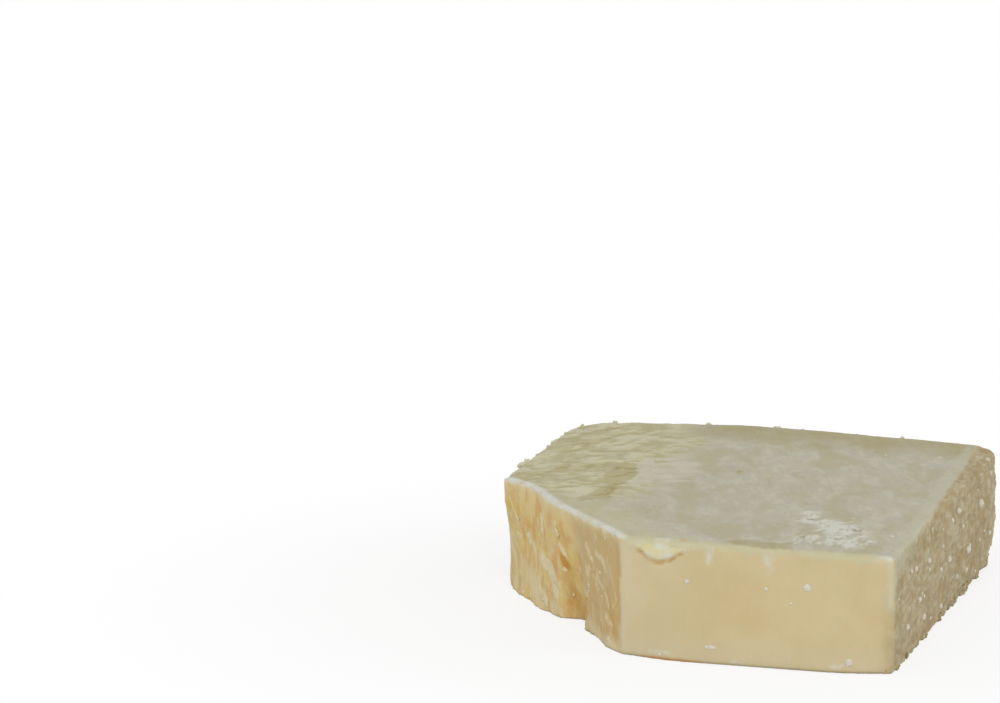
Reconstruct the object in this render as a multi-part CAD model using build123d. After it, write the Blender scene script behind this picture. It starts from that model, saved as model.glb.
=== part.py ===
from build123d import *
import math
import os

# A slab of mature cheddar that lies flat, with one corner broken off by hand.
# Millimetres. X runs along the wire-cut front face, Y from front to back, Z up.
# While the slab is being shaped, X and Y are zero at the middle of its plan.

# Overall size of the slab before the corner was broken off
SLAB_WIDTH = 104.0
SLAB_LENGTH = 113.0
SLAB_THICKNESS = 27.5

# Upright corners, as radii in plan
REAR_RIGHT_RADIUS = 8.0
REAR_LEFT_RADIUS = 10.0
FRONT_RIGHT_RADIUS = 2.0
FRONT_LEFT_RADIUS = 2.0

# Rounding of the long edges
RIM_RADIUS = 1.6
FOOT_RADIUS = 0.8

# Top skin: how far it stands above (+) or below (-) the thickness at each corner,
# and the pillow that swells towards the back edge
TOP_FRONT_LEFT = 0.4
TOP_FRONT_RIGHT = -0.9
TOP_REAR_LEFT = -0.3
TOP_REAR_RIGHT = 1.2
TOP_SWELL = 2.4
SWELL_FROM_LEFT = 40.0
SWELL_HALF_WIDTH = 75.0

# Front face: its foot bows out in front of its rim
FRONT_TOE = 2.8
FRONT_TOE_CENTRE = 73.0
FRONT_TOE_HALF_WIDTH = 31.0
FRONT_TOE_SQUARENESS = 3.0
FRONT_TOE_FALL = 1.5

# Right side: it leans out towards the rear, above a foot that stays tucked in
SIDE_FLARE = 2.6
FLARE_PLACE = 108.0
FLARE_REACH = 85.0
FLARE_TUCK = 8.0

# Broken corner: how much of the front edge and of the left edge went with it
BREAK_ON_FRONT = 42.0
BREAK_ON_SIDE = 47.0

# Relief of the broken face, with places measured along it from its front end
UNDERCUT_DEPTH = 4.2
UNDERCUT_BELOW_RIM = 9.0
UNDERCUT_SPREAD = 5.5
SCOOP_DEPTH = 3.0
SCOOP_PLACE = 53.0
SCOOP_HALF_WIDTH = 22.0
HOLLOW_DEPTH = 2.3
HOLLOW_PLACE = 25.0
HOLLOW_HALF_WIDTH = 22.0
NOTCH_DEPTH = 4.2
NOTCH_PLACE = 31.0
NOTCH_HALF_WIDTH = 6.5
NOTCH_SLANT = 4.0
RIPPLE_DEPTH = 0.3
RIPPLE_PITCH = 13.0
RIPPLE_SLANT = 6.0

# Room that the shaping surfaces run past the slab, and how finely they are laid out
OVERRUN = 12.0
GRID_STEP = 2.5
SURFACE_TOLERANCE = 0.001


def bump(place, centre, half_width, squareness=1.0):
    """One at the centre, falling smoothly to nothing half_width away, flatter on top if squarer."""
    away = min(abs(place - centre) / half_width, 1.0)
    return math.cos(away ** squareness * math.pi / 2) ** 2


def steps(low, high):
    """Evenly spaced places from low to high, about GRID_STEP apart."""
    count = math.ceil((high - low) / GRID_STEP)
    return [low + (high - low) * index / count for index in range(count + 1)]


def curved_face(point_at, first_range, second_range):
    """A smooth face through point_at(first, second) over the two ranges."""
    grid = [[point_at(first, second) for second in steps(*second_range)] for first in steps(*first_range)]
    return Face.make_surface_from_array_of_points(grid, tol=SURFACE_TOLERANCE, min_deg=3, max_deg=3)


def top_height(x, y):
    """Height of the top skin at a place in plan."""
    across = x / SLAB_WIDTH + 0.5
    back = y / SLAB_LENGTH + 0.5
    front_edge = TOP_FRONT_LEFT + (TOP_FRONT_RIGHT - TOP_FRONT_LEFT) * across
    rear_edge = TOP_REAR_LEFT + (TOP_REAR_RIGHT - TOP_REAR_LEFT) * across
    swell = TOP_SWELL * bump(x + SLAB_WIDTH / 2, SWELL_FROM_LEFT, SWELL_HALF_WIDTH) * back ** 2
    return SLAB_THICKNESS + front_edge + (rear_edge - front_edge) * back + swell


def front_face_y(x, z):
    """How far forward the front face lies at a place along it and a height."""
    bow = bump(x + SLAB_WIDTH / 2, FRONT_TOE_CENTRE, FRONT_TOE_HALF_WIDTH, FRONT_TOE_SQUARENESS)
    below_rim = max(1 - z / SLAB_THICKNESS, 0.0)
    return -SLAB_LENGTH / 2 - FRONT_TOE * bow * below_rim ** FRONT_TOE_FALL


def right_side_x(y, z):
    """How far right the right side lies at a place along it and a height."""
    lean = bump(y + SLAB_LENGTH / 2, FLARE_PLACE, FLARE_REACH)
    return SLAB_WIDTH / 2 + SIDE_FLARE * lean * math.tanh(z / FLARE_TUCK)


def break_relief(along, z):
    """How far the broken face stands out from its flat chord, outwards positive."""
    below_rim = 1 - z / SLAB_THICKNESS
    share = along / math.hypot(BREAK_ON_FRONT, BREAK_ON_SIDE)
    sink = (SLAB_THICKNESS - UNDERCUT_BELOW_RIM - z) / UNDERCUT_SPREAD
    undercut = UNDERCUT_DEPTH * share ** 2 * (1 + math.tanh(sink)) / 2
    scoop = SCOOP_DEPTH * bump(along, SCOOP_PLACE, SCOOP_HALF_WIDTH) * (1 - below_rim)
    hollow = HOLLOW_DEPTH * bump(along, HOLLOW_PLACE, HOLLOW_HALF_WIDTH) * below_rim
    notch_place = NOTCH_PLACE - NOTCH_SLANT * (1 - below_rim)
    notch = NOTCH_DEPTH * bump(along, notch_place, NOTCH_HALF_WIDTH) * below_rim
    wave = math.sin(2 * math.pi * (along - RIPPLE_SLANT * below_rim) / RIPPLE_PITCH)
    ripple = RIPPLE_DEPTH * wave * below_rim
    return ripple - undercut - scoop - hollow - notch


def plain_slab():
    """The whole slab with straight sides, tall enough to be cut down to its top skin."""
    return Box(
        SLAB_WIDTH + 2 * SIDE_FLARE, SLAB_LENGTH + 2 * FRONT_TOE, SLAB_THICKNESS + OVERRUN,
        align=(Align.CENTER, Align.CENTER, Align.MIN),
    ).moved(Location((SIDE_FLARE, -FRONT_TOE, 0)))


def above_top():
    """Everything above the top skin."""
    half_x = SLAB_WIDTH / 2 + OVERRUN
    half_y = SLAB_LENGTH / 2 + OVERRUN
    skin = curved_face(lambda x, y: (x, y, top_height(x, y)), (-half_x, half_x), (-half_y, half_y))
    return Solid.extrude(skin, Vector(0, 0, 2 * OVERRUN))


def before_front():
    """Everything in front of the bowed front face."""
    half_x = SLAB_WIDTH / 2 + OVERRUN
    heights = (-OVERRUN, SLAB_THICKNESS + 2 * OVERRUN)
    face = curved_face(lambda x, z: (x, front_face_y(x, z), z), (-half_x, half_x), heights)
    return Solid.extrude(face, Vector(0, -2 * OVERRUN, 0))


def beyond_right():
    """Everything to the right of the flared right side."""
    half_y = SLAB_LENGTH / 2 + OVERRUN
    heights = (-OVERRUN, SLAB_THICKNESS + 2 * OVERRUN)
    face = curved_face(lambda y, z: (right_side_x(y, z), y, z), (-half_y, half_y), heights)
    return Solid.extrude(face, Vector(2 * OVERRUN, 0, 0))


def broken_corner():
    """The piece that was broken away, from the broken face outwards."""
    front_end = Vector(BREAK_ON_FRONT - SLAB_WIDTH / 2, -SLAB_LENGTH / 2, 0)
    side_end = Vector(-SLAB_WIDTH / 2, BREAK_ON_SIDE - SLAB_LENGTH / 2, 0)
    chord = side_end - front_end
    run = chord.normalized()
    outwards = Vector(-run.Y, run.X, 0)

    def point_at(along, z):
        return front_end + run * along + outwards * break_relief(along, z) + Vector(0, 0, z)

    heights = (-OVERRUN, SLAB_THICKNESS + 2 * OVERRUN)
    face = curved_face(point_at, (-OVERRUN, chord.length + OVERRUN), heights)
    return Solid.extrude(face, outwards * chord.length)


def upright_edge(solid, towards_x, towards_y):
    """The upright edge of the slab that lies furthest in one corner direction."""
    uprights = [edge for edge in solid.edges() if edge.bounding_box().size.Z > SLAB_THICKNESS / 2]
    return max(uprights, key=lambda edge: edge.center().X * towards_x + edge.center().Y * towards_y)


def rounded_corners(solid):
    """The slab with its four upright corners rounded, each by its own radius."""
    corners = [
        (1, 1, REAR_RIGHT_RADIUS),
        (-1, 1, REAR_LEFT_RADIUS),
        (1, -1, FRONT_RIGHT_RADIUS),
        (-1, -1, FRONT_LEFT_RADIUS),
    ]
    for towards_x, towards_y, radius in corners:
        solid = fillet(upright_edge(solid, towards_x, towards_y), radius)
    return solid


def cheddar_block():
    """The slab with its bowed front, pillowed top, rounded edges and broken corner."""
    block = rounded_corners(plain_slab() - before_front() - beyond_right())
    block = fillet(block.faces().sort_by(Axis.Z)[0].edges(), FOOT_RADIUS)
    block = block - above_top()
    block = fillet(block.faces().sort_by(Axis.Z)[-1].edges(), RIM_RADIUS)
    block = (block - broken_corner()).solid()
    box = block.bounding_box()
    return block.moved(Location((-box.center().X, -box.center().Y, -box.min.Z)))


os.makedirs("parts", exist_ok=True)
block = cheddar_block()
export_step(block, "parts/cheddar_block.step")
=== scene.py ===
"""A broken block of mature cheddar: its looks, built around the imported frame.

Lengths are metres. X runs to the right along the wire-cut front face, Y from the front to the back
and Z up. Sizes inside the classes are given in millimetres and turned into metres with MM.
"""

import logging
import math
from dataclasses import dataclass, field
from enum import Enum

import bmesh
import bpy
import numpy as np
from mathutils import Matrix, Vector


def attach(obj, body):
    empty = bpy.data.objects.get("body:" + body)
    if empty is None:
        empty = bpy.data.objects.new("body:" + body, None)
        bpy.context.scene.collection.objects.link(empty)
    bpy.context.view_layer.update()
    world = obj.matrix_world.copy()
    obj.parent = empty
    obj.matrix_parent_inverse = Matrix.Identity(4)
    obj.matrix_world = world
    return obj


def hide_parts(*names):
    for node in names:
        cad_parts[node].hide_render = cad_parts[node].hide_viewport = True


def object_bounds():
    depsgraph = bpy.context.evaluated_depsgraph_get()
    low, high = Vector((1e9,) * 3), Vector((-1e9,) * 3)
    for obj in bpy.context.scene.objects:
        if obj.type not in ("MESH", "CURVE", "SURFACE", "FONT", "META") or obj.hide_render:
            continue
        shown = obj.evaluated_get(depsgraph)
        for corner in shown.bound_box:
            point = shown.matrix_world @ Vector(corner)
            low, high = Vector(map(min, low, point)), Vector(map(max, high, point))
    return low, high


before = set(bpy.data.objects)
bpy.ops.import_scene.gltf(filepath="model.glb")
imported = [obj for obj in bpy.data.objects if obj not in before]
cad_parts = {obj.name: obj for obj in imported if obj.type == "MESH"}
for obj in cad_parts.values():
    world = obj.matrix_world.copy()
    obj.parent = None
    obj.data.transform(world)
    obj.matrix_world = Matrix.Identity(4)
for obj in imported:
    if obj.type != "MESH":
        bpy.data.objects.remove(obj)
CAD_LOW, CAD_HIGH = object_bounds()

MM = 0.001
BLOCK = "cheddar_block"
BODY = "root"
Colour = tuple[float, float, float, float]
log = logging.getLogger("cheddar")


def paint(red: int, green: int, blue: int) -> Colour:
    """Turns a display colour of 0 to 255 a channel into the linear colour that a shader takes.

    Args:
        red: Red, 0 to 255.
        green: Green, 0 to 255.
        blue: Blue, 0 to 255.

    Returns:
        The linear colour with full alpha.
    """
    channels = [value / 255 for value in (red, green, blue)]
    linear = [c / 12.92 if c <= 0.04045 else ((c + 0.055) / 1.055) ** 2.4 for c in channels]
    return (*linear, 1.0)


def smooth(values: np.ndarray, low: float, high: float) -> np.ndarray:
    """Rises smoothly from 0 at low to 1 at high, or falls if high is the lower of the two.

    Args:
        values: The places to read.
        low: Where the step starts.
        high: Where the step ends.

    Returns:
        The step's height at each place.
    """
    share = np.clip((values - low) / (high - low), 0.0, 1.0)
    return share * share * (3.0 - 2.0 * share)


class Grain:
    """Seeded noise over arrays of points, which is the same on every run."""

    SIZE = 512
    LIFT = 1.6
    LAYER_SHIFT = 17.3

    def __init__(self, seed: int) -> None:
        """Lays out the lattice.

        Args:
            seed: Picks one lattice of many.
        """
        rng = np.random.default_rng(seed)
        self.order = rng.permutation(self.SIZE)
        slopes = rng.normal(size=(self.SIZE, 3))
        self.slopes = slopes / np.linalg.norm(slopes, axis=1, keepdims=True)
        self.spots = rng.random((self.SIZE, 3))
        self.values = rng.random(self.SIZE)

    def key(self, cell: np.ndarray) -> np.ndarray:
        """Gives every lattice cell its own entry in the tables.

        Args:
            cell: Whole-number cells, one row each.

        Returns:
            One table index a row.
        """
        mask = self.SIZE - 1
        first = self.order[cell[:, 0] & mask]
        second = self.order[(first + cell[:, 1]) & mask]
        return self.order[(second + cell[:, 2]) & mask]

    def waves(self, points: np.ndarray) -> np.ndarray:
        """Smooth rolling noise with features about one unit across.

        Args:
            points: Places, one row each.

        Returns:
            Heights of about -1 to 1.
        """
        cell = np.floor(points).astype(int)
        inside = points - cell
        ease = inside ** 3 * (inside * (inside * 6 - 15) + 10)
        total = np.zeros(len(points))
        for corner in np.ndindex(2, 2, 2):
            offset = np.array(corner)
            slope = self.slopes[self.key(cell + offset)]
            weight = np.prod(np.where(offset == 1, ease, 1 - ease), axis=1)
            total += weight * np.einsum("ij,ij->i", slope, inside - offset)
        return total * self.LIFT

    def fractal(self, points: np.ndarray, octaves: int = 4, gain: float = 0.5) -> np.ndarray:
        """Rolling noise with ever finer noise on top.

        Args:
            points: Places, one row each.
            octaves: How many layers.
            gain: Height of each layer against the one before.

        Returns:
            Heights of about -1 to 1.
        """
        total = np.zeros(len(points))
        for octave in range(octaves):
            total += gain ** octave * self.waves(points * 2 ** octave + self.LAYER_SHIFT * octave)
        return total

    def cells(self, points: np.ndarray) -> tuple[np.ndarray, np.ndarray, np.ndarray]:
        """Splits space into rounded cells about one unit across.

        Args:
            points: Places, one row each.

        Returns:
            Distance to the nearest cell centre, to the next nearest, and a value of 0 to 1 for
            the nearest cell.
        """
        cell = np.floor(points).astype(int)
        near = np.full(len(points), np.inf)
        after = np.full(len(points), np.inf)
        value = np.zeros(len(points))
        for step in np.ndindex(3, 3, 3):
            other = cell + np.array(step) - 1
            entry = self.key(other)
            away = np.linalg.norm(other + self.spots[entry] - points, axis=1)
            closer = away < near
            after = np.where(closer, near, np.minimum(after, away))
            value = np.where(closer, self.values[entry], value)
            near = np.where(closer, away, near)
        return near, after, value


@dataclass(frozen=True)
class Slab:
    """Where the block's faces lie. Places are in mm from the middle of the slab's plan."""

    width: float = 104.0
    length: float = 113.0
    break_on_front: float = 42.0
    break_on_side: float = 47.0

    @property
    def middle(self) -> np.ndarray:
        """The middle of the slab's plan in the frame, in mm: its left and rear sides are the box's."""
        return np.array([CAD_LOW.x / MM - self.left, CAD_HIGH.y / MM - self.rear, 0.0])

    @property
    def left(self) -> float:
        """X of the left side."""
        return -self.width / 2

    @property
    def right(self) -> float:
        """X of the right side at the front."""
        return self.width / 2

    @property
    def rear(self) -> float:
        """Y of the rear side."""
        return self.length / 2

    @property
    def front(self) -> float:
        """Y of the front face at its rim."""
        return -self.length / 2

    @property
    def front_end(self) -> np.ndarray:
        """The end of the break on the front face."""
        return np.array([self.left + self.break_on_front, self.front, 0.0])

    @property
    def side_end(self) -> np.ndarray:
        """The end of the break on the left side."""
        return np.array([self.left, self.front + self.break_on_side, 0.0])

    @property
    def break_length(self) -> float:
        """Length of the break in plan."""
        return math.hypot(self.break_on_front, self.break_on_side)

    @property
    def run(self) -> np.ndarray:
        """Direction along the break, from the front to the left side."""
        return (self.side_end - self.front_end) / self.break_length

    @property
    def outwards(self) -> np.ndarray:
        """Direction out of the broken face."""
        return np.array([-self.run[1], self.run[0], 0.0])


class Skin(Enum):
    """The kinds of surface on the block, as names of the mask each is stored under."""

    TOP = "skin"
    CUT = "cut"
    BROKEN = "broken"
    MOULDED = "moulded"
    UNDER = "under"


class Mark(Enum):
    """What lies on those surfaces, as names of the mask each is stored under."""

    TORN_RIM = "torn_rim"
    CUT_RIM = "cut_rim"
    MOULDED_RIM = "moulded_rim"
    CORNER_LINE = "corner_line"
    SOFT_CORNER = "soft_corner"
    DARK_CORNER = "dark_corner"
    HONEY = "honey"
    # Olive stains and patches, and painted shade in the creases of the wrinkles on the top.
    OLIVE = "olive"
    # Pale patches, and painted light on the crests of the wrinkles on the top.
    PALE = "pale"
    BLOOM = "bloom"
    LIP = "lip"
    CRACK = "crack"
    SMEAR = "smear"
    FLAKE = "flake"
    # Real stains, and a painted contact shadow along the foot of the front face.
    STAIN = "stain_and_shadow"
    TAN = "tan"
    FADE = "fade"
    FIBRE = "fibre"
    # Painted shade: colour darkened in the dips of the moulded side and in the hollows of the break.
    HOLLOW = "painted_shade"


@dataclass(frozen=True)
class Stroke:
    """A soft line drawn over a face: the path of its middle and its half width, in mm."""

    path: tuple[tuple[float, float], ...]
    width: float
    core: float = 0.0

    def over(self, first: np.ndarray, second: np.ndarray) -> np.ndarray:
        """Draws the line.

        Args:
            first: Each point's first coordinate on the face.
            second: Each point's second coordinate on the face.

        Returns:
            A mask: 1 along the middle of the line and 0 beyond its half width.
        """
        places = np.stack([first, second], axis=1)
        away = np.full(len(places), self.width)
        for start, end in zip(np.array(self.path[:-1]), np.array(self.path[1:])):
            reach = end - start
            share = np.clip((places - start) @ reach / (reach @ reach), 0.0, 1.0)
            away = np.minimum(away, np.linalg.norm(places - start - share[:, None] * reach, axis=1))
        return smooth(away, self.width, self.core * self.width)


def strongest(strokes: tuple[Stroke, ...], first: np.ndarray, second: np.ndarray) -> np.ndarray:
    """Draws several lines over one face.

    Args:
        strokes: The lines.
        first: Each point's first coordinate on the face.
        second: Each point's second coordinate on the face.

    Returns:
        The strongest of their masks at each point.
    """
    return np.maximum.reduce([stroke.over(first, second) for stroke in strokes])


@dataclass
class Surface:
    """The block's points as arrays, in mm, with how they join."""

    places: np.ndarray
    normals: np.ndarray
    edges: np.ndarray

    def soften(self, values: np.ndarray, rounds: int) -> np.ndarray:
        """Spreads values over neighbouring points.

        Args:
            values: One value, or one row, a point.
            rounds: How many times each point takes the mean of itself and its neighbours.

        Returns:
            The spread values.
        """
        count = len(self.places)
        first, second = self.edges[:, 0], self.edges[:, 1]
        links = 1.0 + np.bincount(first, minlength=count) + np.bincount(second, minlength=count)
        columns = values.reshape(count, -1).astype(float)
        for _ in range(rounds):
            fresh = np.empty_like(columns)
            for index in range(columns.shape[1]):
                column = columns[:, index]
                total = column + np.bincount(first, column[second], count)
                total += np.bincount(second, column[first], count)
                fresh[:, index] = total / links
            columns = fresh
        return columns.reshape(values.shape)


@dataclass
class Block:
    """The block itself: one fine mesh over the frame's solid, with relief on every face."""

    slab: Slab = field(default_factory=Slab)
    voxel: float = 0.58
    edge_smoothing: int = 2
    flat_height: float = 0.05
    underside_slope: float = 0.7
    top_slope: float = 0.62
    side_slope: float = 0.35
    moulded_from_left: float = 9.0

    streak_turn: float = 17.0
    top_swell: float = 0.16
    top_streak: float = 0.05
    wrinkle: float = 0.15
    top_grain: float = 0.035
    bloom_height: float = 0.30
    shoulder_width: float = 4.4
    shoulder_drop: float = 0.45
    top_stains: tuple[Stroke, ...] = (
        Stroke(((-25.4, -21.5), (-24.8, -8.0), (-26.2, 4.0), (-27.8, 12.5)), 3.2, 0.68),
        Stroke(((-46.9, -14.0), (-43.4, -8.0), (-41.5, 1.0), (-40.0, 7.0)), 2.4),
        Stroke(((-46.0, 14.0), (-44.4, 20.0), (-41.0, 29.6), (-39.0, 38.0)), 3.0),
        Stroke(((-48.0, 33.0), (-46.7, 39.4), (-41.0, 47.0)), 3.0),
        Stroke(((-37.0, 2.0), (-34.5, 10.0)), 2.0),
    )
    top_speck: Stroke = Stroke(((0.7, 9.0), (0.9, 11.0)), 1.0)
    chalk_patches: tuple[Stroke, ...] = (
        Stroke(((25.6, -22.5), (27.0, -31.0)), 3.2, 0.3),
        Stroke(((27.5, -30.0), (33.0, -33.5), (37.5, -40.0), (40.0, -47.5)), 5.6, 0.4),
        Stroke(((30.0, -45.5), (36.0, -48.0)), 4.2, 0.3),
        Stroke(((24.2, -51.6), (28.0, -51.2)), 1.5),
    )

    cut_wave: float = 0.10
    cut_grain: float = 0.012
    lip_height: float = 0.50
    crack_depth: float = 0.35
    smears: tuple[Stroke, ...] = (
        Stroke(((9.1, 27.4), (10.0, 23.2)), 1.2),
        Stroke(((11.0, 27.4), (10.2, 22.6)), 1.1),
        Stroke(((21.9, 27.2), (23.6, 22.6)), 1.2),
        Stroke(((24.4, 27.2), (23.9, 21.4)), 1.1),
        Stroke(((4.5, 25.4), (6.8, 26.6)), 1.6),
        Stroke(((-3.0, 1.9), (1.3, 1.9)), 0.8),
        Stroke(((16.0, 1.0), (18.5, 1.0)), 0.6),
        Stroke(((38.6, 1.5), (41.0, 1.7)), 0.8),
    )
    rim_pit: Stroke = Stroke(((3.7, 27.4), (4.7, 27.6)), 0.9)
    # Painted contact shadow: a dark line along the foot of the front face.
    foot_shadow: Stroke = Stroke(((-5.0, 0.0), (-2.5, 0.3), (4.0, 0.3), (9.0, 0.0)), 0.75)

    curd_size: tuple[float, float, float] = (2.0, 3.6, 2.0)
    curd_height: float = 0.34
    curd_grain: float = 0.10
    foot_crumble: float = 0.45

    wall_share: float = 1.2
    flake_lean: float = 36.0
    flake_width: float = 3.0
    flake_length: float = 7.0
    flake_step: float = 0.42
    flake_rise: float = 0.22
    tear_roll: float = 0.30
    tear_grain: float = 0.08
    tear_fibre: float = 0.07
    notch_crease: float = 0.7
    rim_crumble: float = 0.16
    torn_flakes: tuple[Stroke, ...] = (
        Stroke(((46.4, 12.2), (41.2, 10.6), (37.8, 5.8)), 2.3),
        Stroke(((46.4, 22.7), (45.0, 19.0)), 1.1),
        Stroke(((56.2, 15.3), (53.2, 13.7), (51.0, 11.0)), 1.1),
        Stroke(((62.0, 14.6), (60.5, 13.8)), 1.1),
        Stroke(((62.3, 23.3), (60.8, 18.9)), 0.7),
        Stroke(((35.0, 22.7), (35.4, 20.2)), 0.8),
        Stroke(((34.0, 18.2), (32.8, 15.9)), 0.9),
        Stroke(((45.8, 3.8), (43.6, 2.6)), 1.2),
        Stroke(((48.4, 6.4), (46.5, 4.6)), 0.9),
        Stroke(((18.8, 21.5), (16.0, 18.7)), 1.2),
        Stroke(((13.4, 20.7), (10.4, 19.9), (7.8, 17.4)), 1.2),
        Stroke(((24.5, 10.9), (21.5, 8.8)), 1.1),
        Stroke(((13.0, 14.6), (10.2, 12.9)), 1.0),
        Stroke(((8.3, 12.1), (6.4, 9.9)), 0.9),
        Stroke(((8.0, 7.6), (5.5, 6.2)), 1.2),
        Stroke(((6.3, 1.8), (3.4, 0.8)), 1.4),
    )
    torn_fades: tuple[Stroke, ...] = (
        Stroke(((67.5, 12.0), (65.0, 6.0), (63.0, 1.0)), 4.0),
        Stroke(((59.0, 7.0), (48.0, 3.0), (37.0, 1.0)), 5.0),
        Stroke(((24.0, 1.5), (12.0, 0.5), (2.0, 1.0)), 3.5),
    )
    torn_stains: tuple[Stroke, ...] = (
        Stroke(((33.8, 14.8), (33.2, 13.4)), 1.7, 0.3),
    )
    torn_shades: tuple[Stroke, ...] = (
        Stroke(((33.4, 12.5), (32.9, 8.0), (32.4, 2.0)), 3.0),
        Stroke(((26.5, 16.0), (27.5, 10.0), (24.5, 4.0)), 3.0),
        Stroke(((66.3, 11.6), (63.6, 9.2), (61.1, 7.0)), 1.6),
        Stroke(((6.8, 13.0), (4.4, 6.5), (3.2, 1.0)), 1.8),
        Stroke(((12.6, 5.2), (10.4, 0.9)), 1.5),
        Stroke(((1.8, 24.0), (1.6, 8.0)), 1.5),
    )

    masks: dict[Enum, np.ndarray] = field(default_factory=dict)
    surface: Surface | None = None
    shoulder: np.ndarray | None = None

    def remeshed(self) -> bpy.types.Mesh:
        """Copies the frame's solid and lays an even net of small faces over it.

        Returns:
            The new mesh.
        """
        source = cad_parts[BLOCK]
        draft = bpy.data.objects.new("block_draft", source.data.copy())
        bpy.context.scene.collection.objects.link(draft)
        weld = draft.modifiers.new("weld", "WELD")
        weld.merge_threshold = 0.002 * MM
        remesh = draft.modifiers.new("net", "REMESH")
        remesh.mode = "VOXEL"
        remesh.voxel_size = self.voxel * MM
        remesh.use_smooth_shade = True
        graph = bpy.context.evaluated_depsgraph_get()
        mesh = bpy.data.meshes.new_from_object(draft.evaluated_get(graph))
        bpy.data.objects.remove(draft)
        return mesh

    def rework(self, mesh: bpy.types.Mesh) -> None:
        """Makes the net plain under the block and finer on the break.

        Args:
            mesh: The block's mesh, changed in place.
        """
        work = bmesh.new()
        work.from_mesh(mesh)
        self.join_underside(work)
        self.refine_break(work)
        work.to_mesh(mesh)
        work.free()

    def join_underside(self, work: bmesh.types.BMesh) -> None:
        """Joins the flat faces well inside the underside into one face.

        Args:
            work: The block's net, changed in place.
        """
        flat = self.flat_height * MM
        rim = {
            vertex
            for edge in work.edges
            for vertex in edge.verts
            if any(other.co.z > flat for other in edge.verts)
        }
        inner = [
            face for face in work.faces
            if all(vertex.co.z < flat and vertex not in rim for vertex in face.verts)
        ]
        bmesh.ops.dissolve_faces(work, faces=inner, use_verts=True)

    def refine_break(self, work: bmesh.types.BMesh) -> None:
        """Splits each four-sided face on the break into four, for its finer relief.

        Args:
            work: The block's net, changed in place.
        """
        clear_of_foot = 0.2
        torn = []
        for face in work.faces:
            centre = np.array(face.calc_center_median()) / MM - self.slab.middle
            if len(face.verts) != 4 or centre[2] <= clear_of_foot:
                continue
            if self.on_break(centre[None], np.array(face.normal)[None])[0]:
                torn.append(face)
        edges = list({edge for face in torn for edge in face.edges})
        bmesh.ops.subdivide_edges(work, edges=edges, cuts=1, use_grid_fill=True)

    def on_break(self, places: np.ndarray, normals: np.ndarray) -> np.ndarray:
        """Tells which places lie on the broken face.

        Args:
            places: Places in mm, one row each.
            normals: Surface normals there.

        Returns:
            True for each place on the broken face.
        """
        slab = self.slab
        clear = 0.35
        reach = 9.0
        least_facing = 0.05
        most_tilt = 0.75
        facing = normals @ slab.outwards > least_facing
        not_front = places[:, 1] > slab.front + clear
        not_left = places[:, 0] > slab.left + clear
        near = places[:, 1] < slab.side_end[1] + reach
        upright = np.abs(normals[:, 2]) < most_tilt
        return facing & not_front & not_left & near & upright

    def read(self, mesh: bpy.types.Mesh) -> None:
        """Reads the mesh into arrays.

        Args:
            mesh: The block's mesh.
        """
        count = len(mesh.vertices)
        places = np.empty(count * 3)
        mesh.vertices.foreach_get("co", places)
        normals = np.empty(count * 3)
        mesh.vertex_normals.foreach_get("vector", normals)
        edges = np.empty(len(mesh.edges) * 2, int)
        mesh.edges.foreach_get("vertices", edges)
        self.surface = Surface(
            places.reshape(-1, 3) / MM - self.slab.middle, normals.reshape(-1, 3), edges.reshape(-1, 2)
        )

    def mark_regions(self) -> None:
        """Marks the kinds of surface, then the bands where they meet."""
        self.mark_kinds()
        self.round_shoulder()
        surface = self.surface
        ragged = Grain(5).fractal(surface.places / 3.0, 3)
        wide = {kind: surface.soften(self.masks[kind], 8) for kind in Skin}
        self.mark_rims(wide, ragged)
        self.mark_corners(wide, ragged)

    def mark_kinds(self) -> None:
        """Works out how far each point belongs to each kind of surface."""
        surface = self.surface
        slab = self.slab
        x, y, _ = surface.places.T
        normals = surface.soften(surface.normals, 2)
        normals /= np.linalg.norm(normals, axis=1, keepdims=True)
        under = normals[:, 2] < -self.underside_slope
        top = normals[:, 2] > self.top_slope
        broken = self.on_break(surface.places, normals) & ~under & ~top
        moulded = (normals[:, 0] > self.side_slope) | (normals[:, 1] > self.side_slope)
        left_end = slab.left + self.moulded_from_left + 2.5 * Grain(3).fractal(surface.places / 5.0, 3)
        moulded &= ~under & ~top & ~broken & (y > slab.front + 1.0) & (x > left_end)
        kinds = {
            Skin.TOP: top, Skin.CUT: ~(under | top | broken | moulded), Skin.BROKEN: broken,
            Skin.MOULDED: moulded, Skin.UNDER: under,
        }
        for kind, inside in kinds.items():
            self.masks[kind] = surface.soften(inside.astype(float), 3)

    def round_shoulder(self) -> None:
        """Lets the rough moulded side reach over the right edge of the top, wider towards the rear."""
        slab = self.slab
        x, y, z = self.surface.places.T
        ragged = Grain(7).fractal(self.surface.places / np.array([3.0, 6.0, 3.0]), 3)
        back = np.clip((y - slab.front) / slab.length, 0.0, 1.0)
        beyond = x + 0.6 * ragged - (slab.right - self.shoulder_width * back ** 0.75)
        over = smooth(beyond, 0.6, 2.4) * self.masks[Skin.TOP]
        near_top = self.masks[Skin.TOP] + self.masks[Skin.MOULDED] * smooth(z, 20.0, 26.0)
        side_band = smooth(np.abs(beyond), 2.0, 0.4) * near_top
        rear_band = smooth(y, slab.rear - 2.5, slab.rear - 0.5) * self.masks[Skin.TOP]
        rear_band *= 0.6 * smooth(x, slab.left + 4.0, slab.left + 12.0)
        self.masks[Mark.MOULDED_RIM] = np.maximum(side_band, rear_band)
        self.shoulder = smooth(beyond, 0.0, 7.0) * smooth(x, 0.0, slab.right) * near_top
        self.masks[Skin.MOULDED] = self.masks[Skin.MOULDED] + over
        self.masks[Skin.TOP] = self.masks[Skin.TOP] - over

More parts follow.
